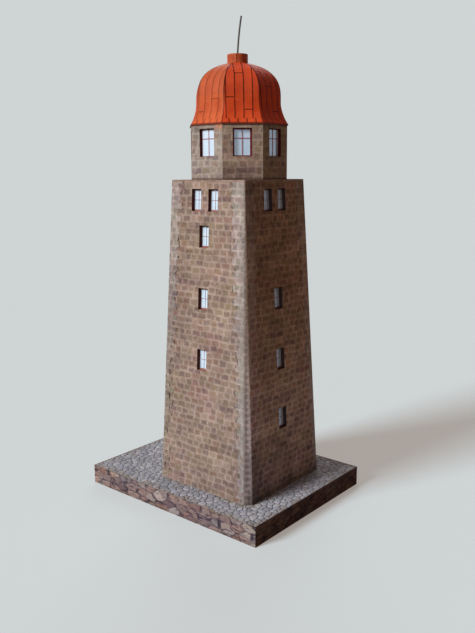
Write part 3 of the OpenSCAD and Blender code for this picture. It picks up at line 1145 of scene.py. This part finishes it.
def make_rim(material):
    """The top edge of the terrace's walls, which closes the paving's sheet."""
    work = StoneWork()
    outer = rectangle(TERRACE_X, TERRACE_Y)
    inner = rectangle(TERRACE_X - PAVING_INSET, TERRACE_Y - PAVING_INSET)
    for (a, b), (d, c) in zip(sides_of(outer), sides_of(inner)):
        work.slab([a, b, c, d], -PAVING_SHEET, -RIM_DROP)
    work.piece("terrace_rim", material)


def rubble_material(name):
    """Printed rubble in pink, rust, grey and purple, with dark and uneven joints, and painted
    shade on its right-facing side.
    """
    net = Net(name, 0.75, 0.06)
    x, y, z = net.place(axis_x=0.0)
    facing = net.split(net.normal())
    endways = abs(facing[0]).above(0.5)
    seed = endways * 31.0 + (facing[0] + facing[1]).above(0.0) * 57.0
    u = endways.choose(x, y) + seed
    where = net.vector(u, z, seed)
    along = u * 0.52 + net.wobble(where, 0.16, 2.6)
    up = z + net.wobble(where, 0.16, 2.4)
    picks, edge = net.voronoi(net.vector(along, up), "2D", 1 / RUBBLE_SIZE, 0.85)
    inside = edge * RUBBLE_SIZE
    blotch = net.noise(where, 0.4, 3.0, 0.6)
    grain = net.noise(where, 1.5, 4.0, 0.7)
    colour = net.tinted(net.ramp(picks[0] * 0.8 + blotch * 0.2, RUBBLE), RUBBLE_TINT)
    colour = net.scaled(colour, 0.42 + picks[1] * 0.22 + (grain - 0.5) * 0.9 + blotch * 0.5)
    rusty_end = 0.08 + (seed - u).rise(26.0, 46.0) * 0.7
    colour = net.tinted(colour, RUST_TINT, net.noise(where, 0.09).rise(0.48, 0.6) * rusty_end)
    gap = net.noise(where, 0.16).rise(0.48, 0.62) * 0.4
    joint = (inside + (grain - 0.5) - gap).rise(0.5, -0.15)
    joint = joint * (0.15 + net.noise(where, 0.2).rise(0.38, 0.54) * 0.85)
    slate = net.noise(net.vector(u * 0.2, z, seed), 1.1).rise(0.57, 0.62)
    colour = net.mix(joint, colour, RUBBLE_JOINT)
    colour = net.mix(slate * 0.75, colour, srgb(60, 54, 66))
    # Painted shade: the right-facing side is darkened.
    colour = net.tinted(colour, RIGHT_PAINTED_SHADE, facing[0].above(0.5))
    grime = z.rise(2.6, 0.0) * net.noise(where, 0.5).rise(0.3, 0.7)
    crest = z.rise(PAVING_TOP - 1.0, PAVING_TOP - 0.1) * net.noise(where, 0.5).rise(0.42, 0.62)
    colour = net.mix(grime * 0.35, colour, srgb(82, 72, 52))
    colour = net.mix(crest * 0.45, colour, srgb(122, 106, 78))
    bare = net.scaled(RAW_CARD, 0.8 + grain * 0.4)
    net.bump(inside.rise(0.0, 1.0) + grain * 0.5, 0.12)
    return net.paint(net.mix(facing[2].below(-0.5), colour, bare))


def paving_material():
    """Grey-violet crazy paving, stained ochre near its edges and the tower."""
    net = Net("paving_print", 0.75, 0.18)
    x, y, z = net.place(axis_x=0.0)
    stone = net.out("ShaderNodeAttribute", (), "Color", attribute_name="stone")
    pick, shade, joint = net.split(stone)
    where = net.vector(x, y, z)
    grain = net.noise(where, 2.0, 4.0, 0.65)
    colour = net.ramp(pick * 0.85 + net.noise(where, 0.5) * 0.15, PAVERS)
    worn = net.noise(where, 0.06, 3.0, 0.6).rise(0.35, 0.65) * 0.16
    colour = net.scaled(colour, 0.66 + shade * 0.34 + (grain - 0.5) * 0.45 + worn)
    to_edge = (TERRACE_X - abs(x)).least(TERRACE_Y - abs(y))
    to_tower = abs(x - AXIS_X).most(abs(y)) - FOOT_HALF
    near = to_edge.rise(5.0, 0.3).most(to_tower.rise(4.0, 0.2))
    stain = near * net.noise(where, 0.22, 3.0, 0.6).rise(0.36, 0.62)
    colour = net.mix(stain * 0.6, colour, srgb(128, 110, 74))
    net.bump(grain, 0.12)
    return net.paint(net.mix(joint.above(0.5), colour, srgb(88, 90, 108)))


# --- Floor, light and camera

BACKGROUND = srgb(207, 212, 212)
FILL = (0.185, 0.106, 0.068)
FLOOR_HALF = 6.0
FLOOR_SHADE = (0.40, 0.52, 0.58)
FLOOR_GLOW = (0.280, 0.241, 0.215)
FLOOR_BOUNCE = (0.22, 0.19, 0.17)
KEY_ELEVATION = math.radians(30)
KEY_AZIMUTH = math.radians(17.6)
CAMERA_SPOT = (0.23075, -0.26451, 0.15802)
CAMERA_ANGLES = (39.968, 11.264, -0.336)
FOCAL_PIXELS = 721.48
PICTURE_HEIGHT = 633


def add_sun(name, towards, strength, angle, colour=(1.0, 1.0, 1.0)):
    """A soft sun lamp; strength 1 lights a facing surface to its own colour."""
    data = bpy.data.lights.new(name, "SUN")
    data.energy = strength * math.pi
    data.angle = math.radians(angle)
    data.color = colour
    new_object(name, data).rotation_euler = Vector(towards).to_track_quat("Z", "Y").to_euler()


def make_world():
    """A dim warm fill, behind a pale background."""
    world = bpy.data.worlds.new("studio")
    bpy.context.scene.world = world
    tree = Tree(world)
    fill = tree.out("ShaderNodeBackground", (FILL,))
    background = tree.out("ShaderNodeBackground", (BACKGROUND,))
    tree.end("ShaderNodeOutputWorld", fill, background)


def make_floor():
    """A pale floor that keeps the tower's shadow and merges with the background."""
    mesh = bpy.data.meshes.new("floor")
    corners = rectangle(FLOOR_HALF, FLOOR_HALF)
    mesh.from_pydata([(x, y, 0.0) for x, y in corners], [], [(0, 1, 2, 3)])
    floor = new_object("floor", mesh)
    material = bpy.data.materials.new("floor")
    tree = Tree(material)
    bounce = tree.out("ShaderNodeBsdfDiffuse", (FLOOR_BOUNCE,))
    shade = tree.out("ShaderNodeBsdfDiffuse", (FLOOR_SHADE,))
    glow = tree.out("ShaderNodeEmission", (FLOOR_GLOW,))
    tree.end("ShaderNodeOutputMaterial", bounce, tree.out("ShaderNodeAddShader", (shade, glow)))
    mesh.materials.append(material)


def make_camera():
    """The camera, as fitted to the tower's corners in a 475 x 633 picture."""
    azimuth, pitch, roll = map(math.radians, CAMERA_ANGLES)
    data = bpy.data.cameras.new("camera")
    data.lens = data.sensor_width * FOCAL_PIXELS / PICTURE_HEIGHT
    data.clip_start = 0.01
    camera = new_object("camera", data)
    turn = Matrix.Rotation(azimuth, 4, "Z") @ Matrix.Rotation(math.pi / 2 - pitch, 4, "X")
    camera.matrix_world = Matrix.Translation(CAMERA_SPOT) @ turn @ Matrix.Rotation(roll, 4, "Z")
    bpy.context.scene.camera = camera


def light_scene():
    """A soft key from the left, faint lamps above and behind, the fill and the floor."""
    level = math.cos(KEY_ELEVATION)
    key = (-math.sin(KEY_AZIMUTH) * level, -math.cos(KEY_AZIMUTH) * level, math.sin(KEY_ELEVATION))
    add_sun("key", key, 1.10, 18)
    add_sun("top", (0.1, -0.1, 1.0), 0.06, 60, (0.4, 0.75, 1.0))
    add_sun("back", (-0.55, 0.75, 0.5), 0.22, 40, (1.0, 0.96, 0.92))
    make_world()
    make_floor()
    bpy.context.scene.view_settings.view_transform = "Standard"


# --- The scene


def dress(node, material):
    """Gives a CAD node its own material."""
    for holder in frame["nodes"][node].material_slots:
        holder.material = material


make_camera()
light_scene()

pane = pane_material("pane_print", 2.4, (1.0, 1.0, 1.0))
# A shaded-wall copy of the pane, used on every wall but the front: its stronger, blue-tinted
# reflection stands in for the bluer shade of the panes there.
blue_pane = pane_material("blue_pane_print", 3.8, (0.62, 0.77, 1.0))
rubble = rubble_material("rubble_print")
for name in SIDES:
    dress(f"shaft_wall_{name}", shaft_material(name))
    dress(f"shaft_windows_{name}", pane if name == "front" else blue_pane)
    dress(f"terrace_wall_{name}", rubble)
for name in OCTANTS:
    dress(f"lantern_wall_{name}", lantern_material(name))
    dress(f"lantern_window_{name}", pane if name == "front" else blue_pane)
dress("deck", deck_material())
dress("eave_plate", eave_material())
dress("collar", collar_material())
dress("mast", mast_material())
dress("terrace_base", rubble_material("base_card"))
make_shaft_windows()
make_lantern_windows()
make_gores()
make_rim(rubble)
make_paving(paving_material())
